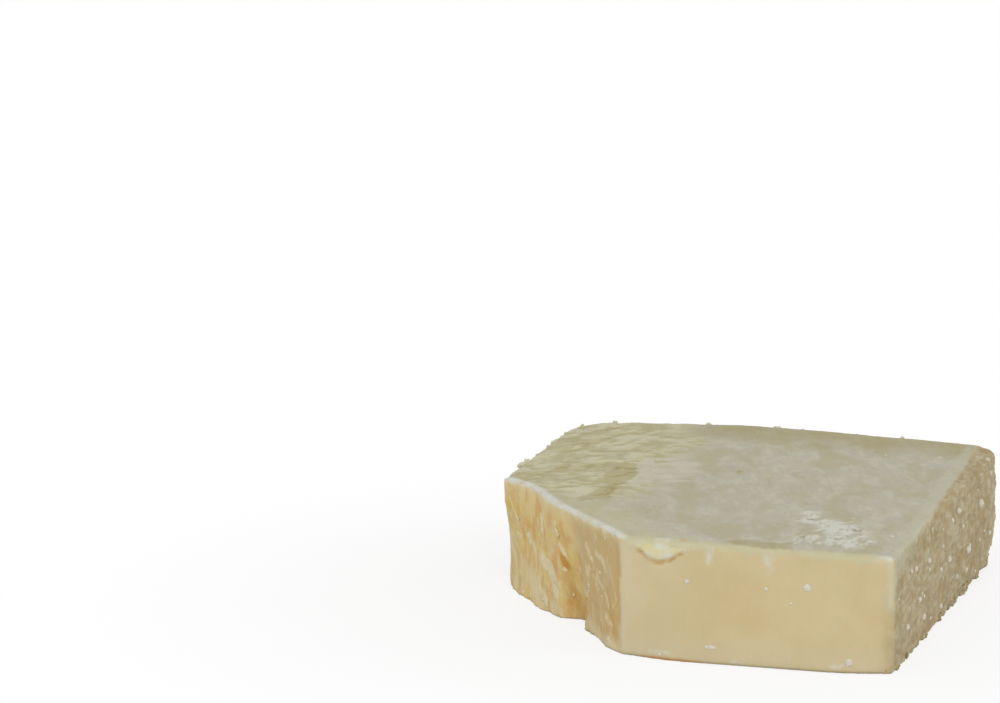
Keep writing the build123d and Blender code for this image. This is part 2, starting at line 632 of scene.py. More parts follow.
    def mark_rims(self, wide: dict[Skin, np.ndarray], ragged: np.ndarray) -> None:
        """Marks the pale bands along the rims of the break and of the wire-cut faces.

        Args:
            wide: The kinds of surface, spread well over their neighbours.
            ragged: The noise that the bands' edges follow.
        """
        slab = self.slab
        _, y, height = self.surface.places.T
        crust = 0.85 * smooth(height + 0.6 * ragged, 26.3, 27.5) * self.masks[Skin.BROKEN]
        rim = smooth(4 * wide[Skin.TOP] * wide[Skin.BROKEN], 0.10, 0.75)
        self.masks[Mark.TORN_RIM] = np.maximum(rim, crust)
        reach = np.clip((y - slab.front) / slab.break_on_side, 0.0, 1.0)
        below = smooth(height + 0.9 * ragged, 25.0 - 2.5 * reach, 27.4)
        self.masks[Mark.FADE] = below * self.masks[Skin.BROKEN]
        near = [self.surface.soften(self.masks[kind], 4) for kind in (Skin.TOP, Skin.CUT)]
        rim = smooth(4 * wide[Skin.TOP] * wide[Skin.CUT] + 0.35 * ragged, 0.10, 0.55)
        on_front = smooth(y, slab.front + 3.0, slab.front + 0.5)
        self.masks[Mark.CUT_RIM] = np.maximum(rim * on_front, 4 * near[0] * near[1])

    def mark_corners(self, wide: dict[Skin, np.ndarray], ragged: np.ndarray) -> None:
        """Marks the upright bands at the two ends of the front face.

        Args:
            wide: The kinds of surface, spread well over their neighbours.
            ragged: The noise that the bands' edges follow.
        """
        slab = self.slab
        cut = self.masks[Skin.CUT]
        x, y, height = self.surface.places.T
        on_front = smooth(y, slab.front + 3.0, slab.front + 0.5)
        verge = smooth(x + ragged, slab.front_end[0] + 5.0, slab.front_end[0] + 1.0)
        verge *= cut * on_front * smooth(height, 4.0, 20.0)
        line = smooth(4 * wide[Skin.CUT] * wide[Skin.BROKEN], 0.10, 0.90)
        self.masks[Mark.CORNER_LINE] = np.maximum(line, 0.8 * verge)
        verge = smooth(x + 1.2 * ragged, slab.right - 3.4, slab.right - 1.0) * cut
        line = 4 * wide[Skin.MOULDED] * wide[Skin.CUT]
        self.masks[Mark.SOFT_CORNER] = np.maximum(line, verge) * smooth(height, 12.0, 18.0)
        verge = smooth(x + 0.5 * ragged, slab.right - 3.8, slab.right - 0.2)
        self.masks[Mark.DARK_CORNER] = verge * cut * on_front * smooth(height, 17.0, 11.0)

    def turned(self, degrees: float) -> np.ndarray:
        """The points with X and Y turned, so that streaks can run at an angle.

        Args:
            degrees: Angle of the streaks from the front face.

        Returns:
            Places in mm, with the first column along the streaks.
        """
        angle = math.radians(degrees)
        x, y, z = self.surface.places.T
        along = x * math.cos(angle) + y * math.sin(angle)
        across = y * math.cos(angle) - x * math.sin(angle)
        return np.stack([along, across, z], axis=1)

    def patch(self, centre: tuple[float, float], radii: tuple[float, float], turn: float,
              ragged: float, grain: Grain) -> np.ndarray:
        """A ragged oval patch on the top skin.

        Args:
            centre: Its middle in plan, in mm.
            radii: Half its size each way, in mm.
            turn: How far it is turned, in degrees.
            ragged: How far its edge wanders, as a share of its size.
            grain: The noise that its edge follows.

        Returns:
            A mask of 0 to 1 over the points.
        """
        angle = math.radians(turn)
        x = self.surface.places[:, 0] - centre[0]
        y = self.surface.places[:, 1] - centre[1]
        first = (x * math.cos(angle) + y * math.sin(angle)) / radii[0]
        second = (y * math.cos(angle) - x * math.sin(angle)) / radii[1]
        away = np.hypot(first, second)
        away += ragged * grain.fractal(self.turned(self.streak_turn) / np.array([9.0, 3.0, 9.0]))
        return smooth(away, 1.15, 0.55) * self.masks[Skin.TOP]

    def top_relief(self) -> np.ndarray:
        """Relief of the pressed top skin: swells, wrinkles, stained patches and a chalky bloom.

        Returns:
            How far each point stands out, in mm.
        """
        grain = Grain(11)
        places = self.surface.places
        turned = self.turned(self.streak_turn)
        turned[:, 1] += 2.5 * grain.fractal(places / 9.0 + 70.0, 3)
        folds = grain.fractal(turned / np.array([6.0, 3.4, 6.0]), 5, 0.62)
        streak = grain.fractal(turned / np.array([9.0, 5.0, 9.0]) + 20.0, 4, 0.6)
        fine = grain.fractal(places / 0.9, 3, 0.7)
        wrinkled = self.stain_top(grain, folds, streak)
        bloom, chalk = self.chalk_top(grain, folds)
        relief = self.top_swell * grain.fractal(places / 22.0, 3)
        relief += self.top_streak * streak + self.top_grain * fine
        relief += self.wrinkle * folds * wrinkled
        return relief + self.bloom_height * bloom * (chalk * (0.8 + 0.5 * fine) - 0.3)

    def stain_top(self, grain: Grain, folds: np.ndarray, streak: np.ndarray) -> np.ndarray:
        """Marks the honey, olive and pale patches of the top skin, with painted shade in the creases of
        the wrinkles and painted light on their crests.

        Args:
            grain: The noise that their edges follow.
            folds: The height of the wrinkles at each point.
            streak: The height of the broader streaks.

        Returns:
            How wrinkled each point is.
        """
        places = self.surface.places
        top = self.masks[Skin.TOP]
        x, y, _ = places.T
        wander = 0.5 * grain.fractal(places / 12.0, 2)
        drift = grain.fractal(places / np.array([5.0, 9.0, 5.0]) + 40.0, 4, 0.6)
        wrinkled = smooth(x / 14.0 + wander, -0.6, -1.9) * smooth(y / 12.0 + wander, -2.5, -1.4)
        drawn = (x + 0.5 * folds + 2.2 * drift, y + 6.0 * folds)
        main = self.top_stains[0].over(*drawn)
        stained = np.maximum(main, 0.8 * strongest(self.top_stains, *drawn)) * top
        # Painted shade: the olive is laid more strongly in the creases of the wrinkles.
        crease_shade = smooth(folds, -0.02, -0.45)
        back = smooth(y + 8.0 * wander, 33.0, 50.0) * smooth(x, -30.0, -12.0)
        back = np.maximum(back, self.patch((21.0, -54.0), (9.0, 3.5), 0.0, 0.5, grain))
        self.masks[Mark.OLIVE] = np.maximum.reduce([
            stained * (0.50 + 0.50 * crease_shade),
            0.50 * wrinkled * crease_shade,
            0.60 * back,
            self.top_speck.over(x + 1.2 * drift, y + 1.5 * folds),
        ])
        pale = self.patch((-17.5, 9.0), (8.0, 19.0), 3.0, 0.4, grain)
        # Painted light: the crests of the wrinkles are made paler.
        crest_light = smooth(folds, 0.02, 0.40)
        self.masks[Mark.PALE] = np.maximum(pale, wrinkled * crest_light) * (1.0 - 0.9 * stained)
        inward = -(places - self.slab.front_end) @ self.slab.outwards
        torn_side = 0.65 * smooth(inward + 4.0 * streak, 15.0, 5.0)
        honey = np.maximum(wrinkled, torn_side) * (0.8 + 0.4 * streak)
        self.masks[Mark.HONEY] = honey * (1.0 - 0.8 * pale)
        return np.maximum(wrinkled, 0.8 * stained)

    def chalk_top(self, grain: Grain, folds: np.ndarray) -> tuple[np.ndarray, np.ndarray]:
        """Marks the chalky bloom near the right end of the front rim.

        Args:
            grain: The noise that breaks it up.
            folds: The height of the wrinkles at each point, which its edge follows.

        Returns:
            How far each point lies in the bloom, and how chalky it is.
        """
        x, y, _ = self.surface.places.T
        bloom = strongest(self.chalk_patches, x + 1.2 * folds, y + 3.0 * folds) * self.masks[Skin.TOP]
        specks = grain.fractal(self.surface.places / np.array([2.0, 5.0, 2.0]) + 9.0, 4, 0.7)
        chalk = smooth(specks, -0.42, 0.05)
        self.masks[Mark.BLOOM] = bloom * chalk
        return bloom, chalk

    def cut_relief(self) -> np.ndarray:
        """Relief of the wire-cut faces: slow waves, faint drag lines and a pressed lip.

        Returns:
            How far each point stands out, in mm.
        """
        grain = Grain(23)
        places = self.surface.places
        wave = grain.fractal(places / np.array([19.0, 19.0, 12.0]), 2)
        drag = grain.fractal(places / np.array([0.8, 0.8, 14.0]), 3)
        self.press_lip(grain)
        lip, crack = self.masks[Mark.LIP], self.masks[Mark.CRACK]
        relief = self.cut_wave * wave + self.cut_grain * drag
        return relief + self.lip_height * lip - self.crack_depth * crack

    def press_lip(self, grain: Grain) -> None:
        """Marks the fold that the wire pressed over the front rim, the line under it and smears.

        Args:
            grain: The noise that their edges follow.
        """
        places = self.surface.places
        x, y, z = places.T
        left_end = self.slab.front_end[0]
        on_front = smooth(y, self.slab.front + 2.2, self.slab.front + 0.4)
        bend = 0.35 * grain.fractal(places / 2.6, 3)
        low = 24.9 - 2.6 * np.exp(-np.abs((x + 1.2) / 4.1) ** 3) + bend
        spread = smooth(x, left_end + 0.2, left_end + 2.5) * smooth(x, 6.0, 3.2) * on_front
        self.masks[Mark.LIP] = spread * smooth(z - low, -0.1, 0.9)
        spread = smooth(x, -7.4, -5.4) * smooth(x, 4.6, 3.0) * on_front
        patchy = 0.35 + 0.65 * smooth(grain.fractal(places / 1.4 + 5.0, 2), -0.7, 0.3)
        self.masks[Mark.CRACK] = spread * smooth(np.abs(z - low + 0.35), 0.62, 0.15) * patchy
        drawn_x = x + 0.5 * grain.waves(places / 1.7 + 12.0)
        self.masks[Mark.SMEAR] = strongest(self.smears, drawn_x, z) * on_front
        # Holds the rim pit and the painted contact shadow along the foot.
        self.masks[Mark.STAIN] = strongest((self.rim_pit, self.foot_shadow), x, z) * on_front

    def moulded_relief(self) -> np.ndarray:
        """Relief of the rough moulded sides: the pebbly print of pressed curds.

        Returns:
            How far each point stands out, in mm.
        """
        grain = Grain(37)
        places = self.surface.places
        size = np.array(self.curd_size)
        near, after, value = grain.cells(places / size)
        dome_reach = 0.75
        dome = 1.0 - np.clip(near / dome_reach, 0.0, 1.0) ** 2
        gap = smooth(after - near, 0.0, 0.3)
        small_near, _, small = grain.cells(places / (0.48 * size) + 31.0)
        rough = grain.fractal(places / (0.55 * size), 3, 0.6)
        slow = grain.fractal(places / 9.0, 2)
        relief = self.curd_height * (dome * (0.35 + 0.65 * value) + 0.35 * gap - 0.55)
        relief += self.curd_height * 0.5 * small * (0.6 - small_near)
        # Painted shade: the dips between the curds are marked for a darker colour.
        self.masks[Mark.HOLLOW] = smooth(relief, 0.0, -0.25)
        foot = smooth(places[:, 2], 4.0, 0.5)
        relief += self.foot_crumble * foot * grain.fractal(places / 2.4 + 3.0, 3, 0.6)
        return relief + self.curd_grain * rough + 0.22 * slow

    def torn_relief(self) -> np.ndarray:
        """Relief of the broken face: rolling, with patches of leaning flakes and dips under some deep
        stains and under its strokes of painted shade.

        Returns:
            How far each point stands out, in mm.
        """
        grain = Grain(53)
        offset = self.surface.places - self.slab.front_end
        along = offset @ self.slab.run
        height = self.surface.places[:, 2]
        depth = offset @ self.slab.outwards
        flat = np.stack([along, height, depth], 1)
        sheared = along + self.wall_share * depth - height * math.tan(math.radians(self.flake_lean))
        leaning = np.stack([sheared, height, depth], 1)
        warp = 0.4 * grain.fractal(flat / 6.0, 3)
        still = np.zeros_like(warp)
        bent = np.stack([warp, -warp, still], 1)
        near, after, value = grain.cells(
            leaning / np.array([self.flake_width, self.flake_length, 30.0]) + bent
        )
        rolling = grain.fractal(leaning / np.array([6.0, 8.0, 30.0]) + 60.0, 3)
        crumb = grain.fractal(leaning / np.array([1.3, 2.2, 9.0]), 3, 0.6)
        bent = np.stack([2 * warp, still, still], 1)
        fibre = grain.fractal(leaning / np.array([1.4, 3.2, 20.0]) + bent + 33.0, 4, 0.6)
        calm = smooth(height, 15.0, 21.0) * smooth(along, 14.0, 26.0)
        patches = smooth(grain.fractal(flat / 7.0 + 90.0, 2), -0.35, 0.3) * (1.0 - 0.8 * calm)
        chance = smooth(value, 0.72, 0.92) * smooth(after - near, 0.05, 0.25) * patches
        chance *= smooth(fibre, -0.15, 0.35)
        self.masks[Mark.FIBRE] = 0.5 + 0.5 * np.clip(fibre, -1.0, 1.0) * patches * self.masks[Skin.BROKEN]
        lobe = smooth(along + 3.0 * rolling, 31.0, 22.0)
        drawn = (along + 0.8 * warp + 0.5 * crumb, height + 1.0 * warp + 0.3 * crumb)
        self.mark_flakes(drawn, crumb, chance, lobe)
        front_end = 0.75 * smooth(along + 0.8 * crumb, 2.4, 0.2) * self.masks[Skin.BROKEN]
        self.masks[Mark.CORNER_LINE] = np.maximum(self.masks[Mark.CORNER_LINE], front_end)
        relief = self.tear_roll * rolling
        relief += self.flake_step * patches * (value - 0.5) * smooth(after - near, 0.0, 0.3)
        relief += (self.tear_grain * crumb + self.tear_fibre * fibre) * (0.25 + 0.75 * patches)
        relief -= self.notch_crease * smooth(np.abs(along - 23.0), 7.0, 1.0) * smooth(height, 15.0, 4.0)
        return relief + self.flake_rise * self.masks[Mark.FLAKE] - 0.15 * self.stain_break(drawn, relief)

    def mark_flakes(self, drawn: tuple[np.ndarray, np.ndarray], crumb: np.ndarray, chance: np.ndarray,
                    lobe: np.ndarray) -> None:
        """Marks the pale flakes, the pale foot and the browner lobe of the break.

        Args:
            drawn: Where each point lies along the break and its height, for drawing on.
            crumb: The fine noise of the break.
            chance: How likely a small flake is at each point.
            lobe: How far each point lies on the lobe at the front.
        """
        broken = self.masks[Skin.BROKEN]
        shown = smooth(1.9 * strongest(self.torn_flakes, *drawn) + 0.40 * crumb, 0.15, 0.95)
        self.masks[Mark.FLAKE] = np.maximum(shown, 0.5 * chance) * broken * (1.0 - 0.45 * lobe)
        self.masks[Mark.TAN] = lobe * broken
        faded = 0.9 * strongest(self.torn_fades, *drawn)
        self.masks[Mark.FADE] = np.maximum(self.masks[Mark.FADE], faded) * broken

    def stain_break(self, drawn: tuple[np.ndarray, np.ndarray], relief: np.ndarray) -> np.ndarray:
        """Marks the orange pit of the break and paints shade into its hollows and along its shade strokes.

        Args:
            drawn: Where each point lies along the break and its height, for drawing on.
            relief: How far each point of the break stands out, in mm.

        Returns:
            How deeply each point is stained or shaded.
        """
        broken = self.masks[Skin.BROKEN]
        stains = strongest(self.torn_stains, *drawn)
        shades = strongest(self.torn_shades, *drawn)
        self.masks[Mark.STAIN] = np.maximum(self.masks[Mark.STAIN], stains * broken)
        # Painted shade: the low parts and the shade strokes of the break are marked for a darker colour.
        painted_shade = np.maximum(0.6 * smooth(relief, -0.1, -0.5), shades) * broken
        self.masks[Mark.HOLLOW] = np.maximum(self.masks[Mark.HOLLOW] * self.masks[Skin.MOULDED], painted_shade)
        return np.maximum(stains, shades)

    def build(self) -> None:
        """Makes the piece: the net, its masks, its relief and its stored masks."""
        mesh = self.remeshed()
        self.rework(mesh)
        self.read(mesh)
        surface = self.surface
        loose = surface.soften(surface.places, self.edge_smoothing)
        held = surface.places[:, 2] < self.flat_height
        loose[held] = surface.places[held]
        surface.places = loose
        self.mark_regions()
        relief = self.top_relief() * self.masks[Skin.TOP]
        relief += self.cut_relief() * self.masks[Skin.CUT]
        relief += self.moulded_relief() * self.masks[Skin.MOULDED]
        relief += self.torn_relief() * self.masks[Skin.BROKEN]
        relief += self.rim_crumble * self.masks[Mark.TORN_RIM] * Grain(61).fractal(surface.places / 1.3, 3)
        relief -= self.shoulder_drop * self.shoulder
        relief *= 1.0 - self.masks[Skin.UNDER]
        normals = surface.soften(surface.normals, 2)
        moved = surface.places + normals * relief[:, None]
        moved[:, 2] = np.where(held, 0.0, np.maximum(moved[:, 2], 0.0))
        mesh.vertices.foreach_set("co", ((moved + self.slab.middle) * MM).ravel())
        surface.places = moved
        for mark, values in self.masks.items():
            layer = mesh.attributes.new(mark.value, "FLOAT", "POINT")
            layer.data.foreach_set("value", np.clip(values, 0.0, 1.0).astype(np.float32))
        mesh.materials.clear()
        mesh.materials.append(RipeCheddar().material())
        mesh.shade_smooth()
        mesh.update()
        piece = bpy.data.objects.new("block", mesh)
        bpy.context.scene.collection.objects.link(piece)
        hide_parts(BLOCK)
        settle(piece)


def settle(piece: bpy.types.Object) -> None:
    """Makes a piece ride with the block and report itself.

    Args:
        piece: A finished piece.
    """
    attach(piece, BODY)
    triangles = sum(len(polygon.vertices) - 2 for polygon in piece.data.polygons)
    log.info("%s: %d triangles", piece.name, triangles)


@dataclass
class Recipe:
    """A short way to write a material's nodes."""

    FIRST_COLOUR = 6
    SECOND_COLOUR = 7
    MIXED_COLOUR = 2

    material: bpy.types.Material
    coordinates: bpy.types.NodeSocket | None = None

    @classmethod
    def start(cls, name: str) -> "Recipe":
        """Opens a new material with its shader, its output and the piece's own coordinates.

        Args:
            name: The material's name.

        Returns:
            The recipe, ready for more nodes.
        """
        material = bpy.data.materials.new(name)
        material.use_nodes = True
        recipe = cls(material)
        recipe.coordinates = recipe.node("ShaderNodeTexCoord").outputs["Object"]
        return recipe

    @property
    def shader(self) -> bpy.types.Node:
        """The material's Principled shader."""
        return self.material.node_tree.nodes["Principled BSDF"]

    def node(self, kind: str, **settings: object) -> bpy.types.Node:
        """Adds a node.

        Args:
            kind: The node's type name.
            settings: Properties to set on it.

        Returns:
            The node.
        """
        made = self.material.node_tree.nodes.new(kind)
        for key, value in settings.items():
            setattr(made, key, value)
        return made

    def link(self, value: object, socket: bpy.types.NodeSocket) -> None:
        """Joins an output to a socket, or sets the socket if the value is plain.

        Args:
            value: An output socket, a number or a colour.
            socket: The input.
        """
        if isinstance(value, bpy.types.NodeSocket):
            self.material.node_tree.links.new(value, socket)
        else:
            socket.default_value = value

    def mask(self, mark: Enum) -> bpy.types.NodeSocket:
        """Reads a mask stored on the mesh.

        Args:
            mark: Which one.

        Returns:
            The mask's output.
        """
        return self.node("ShaderNodeAttribute", attribute_name=mark.value).outputs["Fac"]

    def part(self, mark: Enum, share: float) -> bpy.types.NodeSocket:
        """A mask at part of its strength."""
        return self.math("MULTIPLY", self.mask(mark), share)

    def place(self, axis: str) -> bpy.types.NodeSocket:
        """Where a point lies along the X, Y or Z axis, in metres."""
        split = self.node("ShaderNodeSeparateXYZ")
        self.link(self.coordinates, split.inputs[0])
        return split.outputs[axis]

    def noise(self, size: float, detail: float = 3.0, stretch: tuple[float, float, float] = (1, 1, 1),
              turn: tuple[float, float, float] = (0, 0, 0), rough: float = 0.55) -> bpy.types.NodeSocket:
        """Cloudy noise.

        Args:
            size: Size of its features, in mm.
            detail: How many finer layers.
            stretch: How many times longer its features are along each axis.
            turn: Angles that turn those axes, in degrees.
            rough: Strength of the finer layers.

        Returns:
            A value of about 0.2 to 0.8, with 0.5 in the middle.
        """
        mapping = self.node("ShaderNodeMapping")
        self.link(self.coordinates, mapping.inputs["Vector"])
        mapping.inputs["Rotation"].default_value = [math.radians(angle) for angle in turn]
        spread = self.node("ShaderNodeMapping")
        self.link(mapping.outputs["Vector"], spread.inputs["Vector"])
        spread.inputs["Scale"].default_value = [1 / amount for amount in stretch]
        texture = self.node("ShaderNodeTexNoise")
        self.link(spread.outputs["Vector"], texture.inputs["Vector"])
        texture.inputs["Scale"].default_value = 1 / (size * MM)
        texture.inputs["Detail"].default_value = detail
        texture.inputs["Roughness"].default_value = rough
        return texture.outputs["Fac"]

    def range(self, value: bpy.types.NodeSocket, low: float, high: float, to_low: float = 0.0,
              to_high: float = 1.0) -> bpy.types.NodeSocket:
        """Stretches a value smoothly from one range to another.

        Args:
            value: What to stretch.
            low: Where the range starts.
            high: Where it ends.
            to_low: What the start becomes.
            to_high: What the end becomes.

        Returns:
            The new value.
        """
        made = self.node("ShaderNodeMapRange", interpolation_type="SMOOTHSTEP")
        amounts = {"Value": value, "From Min": low, "From Max": high, "To Min": to_low, "To Max": to_high}
        for name, amount in amounts.items():
            self.link(amount, made.inputs[name])
        return made.outputs["Result"]

    def math(self, operation: str, first: object, second: object) -> bpy.types.NodeSocket:
        """Does one sum with two values and holds the result between 0 and 1.

        Args:
            operation: The Math node's operation.
            first: The first value.
            second: The second value.

        Returns:
            The result.
        """
        made = self.node("ShaderNodeMath", operation=operation, use_clamp=True)
        self.link(first, made.inputs[0])
        self.link(second, made.inputs[1])
        return made.outputs[0]

    def mix(self, share: object, first: object, second: object) -> bpy.types.NodeSocket:
        """Mixes two colours.

        Args:
            share: How much of the second one.
            first: The first colour.
            second: The second colour.

        Returns:
            The mixed colour.
        """
        made = self.node("ShaderNodeMix", data_type="RGBA")
        self.link(share, made.inputs["Factor"])
        self.link(first, made.inputs[self.FIRST_COLOUR])
        self.link(second, made.inputs[self.SECOND_COLOUR])
        return made.outputs[self.MIXED_COLOUR]

    def bump(self, height: object, depth: float, strength: float = 1.0) -> None:
        """Adds fine relief to the shader.

        Args:
            height: The relief, 0 to 1.
            depth: How deep a step from 0 to 1 is, in mm.
            strength: How strongly it shows.
        """
        made = self.node("ShaderNodeBump")
        made.inputs["Distance"].default_value = depth * MM
        made.inputs["Strength"].default_value = strength
        self.link(height, made.inputs["Height"])
        self.link(made.outputs["Normal"], self.shader.inputs["Normal"])

    def fleshy(self, weight: float, depth: float) -> None:
        """Lets light a little way into the surface, as into cheese.

        Args:
            weight: How much of the light goes in.
            depth: How far it goes, in mm.
        """
        self.shader.inputs["Subsurface Weight"].default_value = weight
        self.shader.inputs["Subsurface Radius"].default_value = (1.0, 0.72, 0.38)
        self.shader.inputs["Subsurface Scale"].default_value = depth * MM


@dataclass(frozen=True)
class RipeCheddar:
    """The finish of the block: pressed skin, wire-cut paste, amber break and pebbly moulded side."""

    skin: Colour = paint(180, 175, 156)
    skin_warm: Colour = paint(174, 166, 134)
    skin_light: Colour = paint(196, 193, 173)
    skin_olive: Colour = paint(161, 147, 99)
    skin_honey: Colour = paint(191, 184, 145)
    skin_cream: Colour = paint(205, 200, 166)
    paste: Colour = paint(205, 188, 146)
    paste_deep: Colour = paint(199, 180, 134)
    paste_pale: Colour = paint(203, 193, 161)
    paste_low: Colour = paint(198, 186, 154)
    amber: Colour = paint(216, 191, 128)
    amber_gold: Colour = paint(210, 182, 100)
    amber_deep: Colour = paint(189, 148, 80)
    amber_cream: Colour = paint(215, 202, 158)
    amber_orange: Colour = paint(206, 162, 92)
    tan: Colour = paint(184, 157, 110)
    flake: Colour = paint(219, 208, 174)
    # Colour of the stains and of the painted contact shadow at the foot.
    stain_and_shadow: Colour = paint(192, 134, 48)
    curd: Colour = paint(166, 149, 110)
    curd_deep: Colour = paint(150, 131, 90)
    curd_pale: Colour = paint(186, 175, 143)
    curd_rust: Colour = paint(184, 151, 102)
    lace: Colour = paint(211, 213, 202)
    frost: Colour = paint(186, 184, 159)
    cream: Colour = paint(194, 188, 152)
    butter: Colour = paint(216, 207, 160)
    chalk: Colour = paint(209, 208, 194)
    rust: Colour = paint(188, 148, 84)

    def material(self) -> bpy.types.Material:
        """Builds the material.

        Returns:
            The finished material.
        """
        recipe = Recipe.start("ripe_cheddar")
        colour = self.paste_colour(recipe)
        colour = recipe.mix(recipe.mask(Skin.MOULDED), colour, self.curd_colour(recipe))
        colour = recipe.mix(recipe.mask(Skin.BROKEN), colour, self.amber_colour(recipe))
        colour = recipe.mix(recipe.mask(Skin.TOP), colour, self.skin_colour(recipe))
        colour = self.rims(recipe, colour)
        recipe.link(colour, recipe.shader.inputs["Base Color"])
        self.surface(recipe)
        return recipe.material

    def paste_colour(self, recipe: Recipe) -> bpy.types.NodeSocket:
        """The smooth buttery paste of the wire-cut faces, darkened at the foot as painted contact shadow.

        Args:
            recipe: The material being written.

        Returns:
            Its colour.
        """
        cloud = recipe.range(recipe.noise(16.0, 3.0), 0.35, 0.65)
        colour = recipe.mix(cloud, self.paste, self.paste_deep)
        height = recipe.place("Z")
        low = recipe.range(height, 9.0 * MM, 0.5 * MM, 0.0, 0.6)
        colour = recipe.mix(low, colour, self.paste_low)
        left = recipe.range(recipe.place("X"), 20.0 * MM, -10.0 * MM, 0.0, 0.35)
        colour = recipe.mix(left, colour, self.paste_pale)
        veins = recipe.range(recipe.noise(2.2, 4.0, (1, 1, 5)), 0.60, 0.75, 0.0, 0.35)
        colour = recipe.mix(veins, colour, self.paste_pale)
        # Painted contact shadow: the paste darkens towards the foot.
        foot = recipe.range(height, 0.9 * MM, 0.1 * MM, 0.0, 0.55)
        colour = recipe.mix(foot, colour, self.curd_deep)
        patchy = recipe.range(recipe.noise(1.5, 4.0, (1, 1, 2)), 0.38, 0.60, 0.35, 1.0)
        smear = recipe.math("MULTIPLY", recipe.part(Mark.SMEAR, 0.62), patchy)
        colour = recipe.mix(smear, colour, self.lace)
        fold = recipe.mix(recipe.range(recipe.noise(2.2, 4.0), 0.42, 0.60), self.butter, self.lace)
        colour = recipe.mix(recipe.part(Mark.LIP, 0.85), colour, fold)
        return recipe.mix(recipe.part(Mark.CRACK, 0.9), colour, self.rust)

    def amber_colour(self, recipe: Recipe) -> bpy.types.NodeSocket:
        """The deeper, golden paste where the corner tore away, with its pale flakes and painted shade in
        its hollows.

        Args:
            recipe: The material being written.

        Returns:
            Its colour.
        """
        cloud = recipe.range(recipe.noise(6.0, 3.0, (1, 1, 1.6)), 0.40, 0.62)
        colour = recipe.mix(cloud, self.amber, self.amber_gold)
        colour = recipe.mix(recipe.part(Mark.TAN, 0.7), colour, self.tan)
        blotch = recipe.range(recipe.noise(4.2, 3.0, (1, 1, 1.8), (5, -8, 0)), 0.50, 0.62, 0.0, 0.85)
        off_the_lobe = recipe.range(recipe.mask(Mark.TAN), 0.2, 0.8, 1.0, 0.3)
        colour = recipe.mix(recipe.math("MULTIPLY", blotch, off_the_lobe), colour, self.amber_orange)
        rougher_below = recipe.range(recipe.place("Z"), 23.0 * MM, 15.0 * MM, 0.35, 1.0)
        dark = recipe.range(recipe.noise(3.0, 4.0, (1, 1, 4), (9, -12, 0), 0.6), 0.54, 0.70, 0.0, 0.7)
        colour = recipe.mix(recipe.math("MULTIPLY", dark, rougher_below), colour, self.amber_deep)
        light = recipe.range(recipe.noise(2.6, 5.0, (1, 1, 2.8), (7, -14, 0), 0.6), 0.53, 0.68, 0.0, 0.8)
        colour = recipe.mix(recipe.math("MULTIPLY", light, rougher_below), colour, self.amber_cream)
        fibre = recipe.range(recipe.mask(Mark.FIBRE), 0.58, 0.85, 0.0, 0.25)
        colour = recipe.mix(fibre, colour, self.flake)
        # Painted shade: darker amber in the hollows of the break.
        colour = recipe.mix(recipe.part(Mark.HOLLOW, 0.60), colour, self.amber_deep)
        colour = recipe.mix(recipe.part(Mark.FADE, 0.7), colour, self.amber_cream)
        fine = recipe.range(recipe.noise(0.8, 3.0, (1, 1, 3), (16, -22, 0)), 0.30, 0.60, 0.35, 1.0)
        return recipe.mix(recipe.math("MULTIPLY", recipe.mask(Mark.FLAKE), fine), colour, self.flake)

    def curd_colour(self, recipe: Recipe) -> bpy.types.NodeSocket:
        """The mottled brown-beige of the moulded sides, with painted shade in the dips between the curds.

        Args:
            recipe: The material being written.

        Returns:
            Its colour.
        """
        fine = recipe.range(recipe.noise(1.5, 4.0, (1, 2.2, 1)), 0.38, 0.62)
        colour = recipe.mix(fine, self.curd, self.curd_pale)
        slow = recipe.range(recipe.noise(5.0, 3.0, (1, 2.2, 1)), 0.42, 0.66, 0.0, 0.5)
        colour = recipe.mix(slow, colour, self.curd_deep)
        rust = recipe.range(recipe.noise(2.4, 3.0, (1, 2.2, 1)), 0.54, 0.68, 0.0, 0.5)
        colour = recipe.mix(rust, colour, self.curd_rust)
        # Painted shade: darker curd in the dips between the curds.
        return recipe.mix(recipe.part(Mark.HOLLOW, 0.45), colour, self.curd_deep)

    def skin_colour(self, recipe: Recipe) -> bpy.types.NodeSocket:
        """The dry, matt top skin with its streaks, stains, specks and chalky bloom, and with painted shade
        in the creases of its wrinkles and painted light on their crests.

        Args:
            recipe: The material being written.

        Returns:
            Its colour.
        """
        mottle = recipe.range(recipe.noise(2.6, 5.0, (1, 2.6, 1), (0, 0, -17), 0.65), 0.40, 0.66, 0.0, 0.6)
        colour = recipe.mix(mottle, self.skin, self.skin_light)
        cloud = recipe.range(recipe.noise(7.0, 4.0, (1, 2.4, 1), (0, 0, -17)), 0.44, 0.62, 0.0, 0.75)
        colour = recipe.mix(cloud, colour, self.skin_warm)
        honey = recipe.mask(Mark.HONEY)
        colour = recipe.mix(honey, colour, self.skin_honey)
        tint = recipe.mix(honey, self.skin_light, self.skin_cream)
        # Pale patches, and painted light on the crests of the wrinkles.
        colour = recipe.mix(recipe.part(Mark.PALE, 0.75), colour, tint)
        # Olive stains, and painted shade in the creases of the wrinkles.
        colour = recipe.mix(recipe.mask(Mark.OLIVE), colour, self.skin_olive)
        fleck = recipe.range(recipe.noise(1.1, 2.0, (1, 2, 1)), 0.67, 0.74, 0.0, 0.6)
        colour = recipe.mix(fleck, colour, self.skin_olive)
        return recipe.mix(recipe.part(Mark.BLOOM, 0.95), colour, self.chalk)

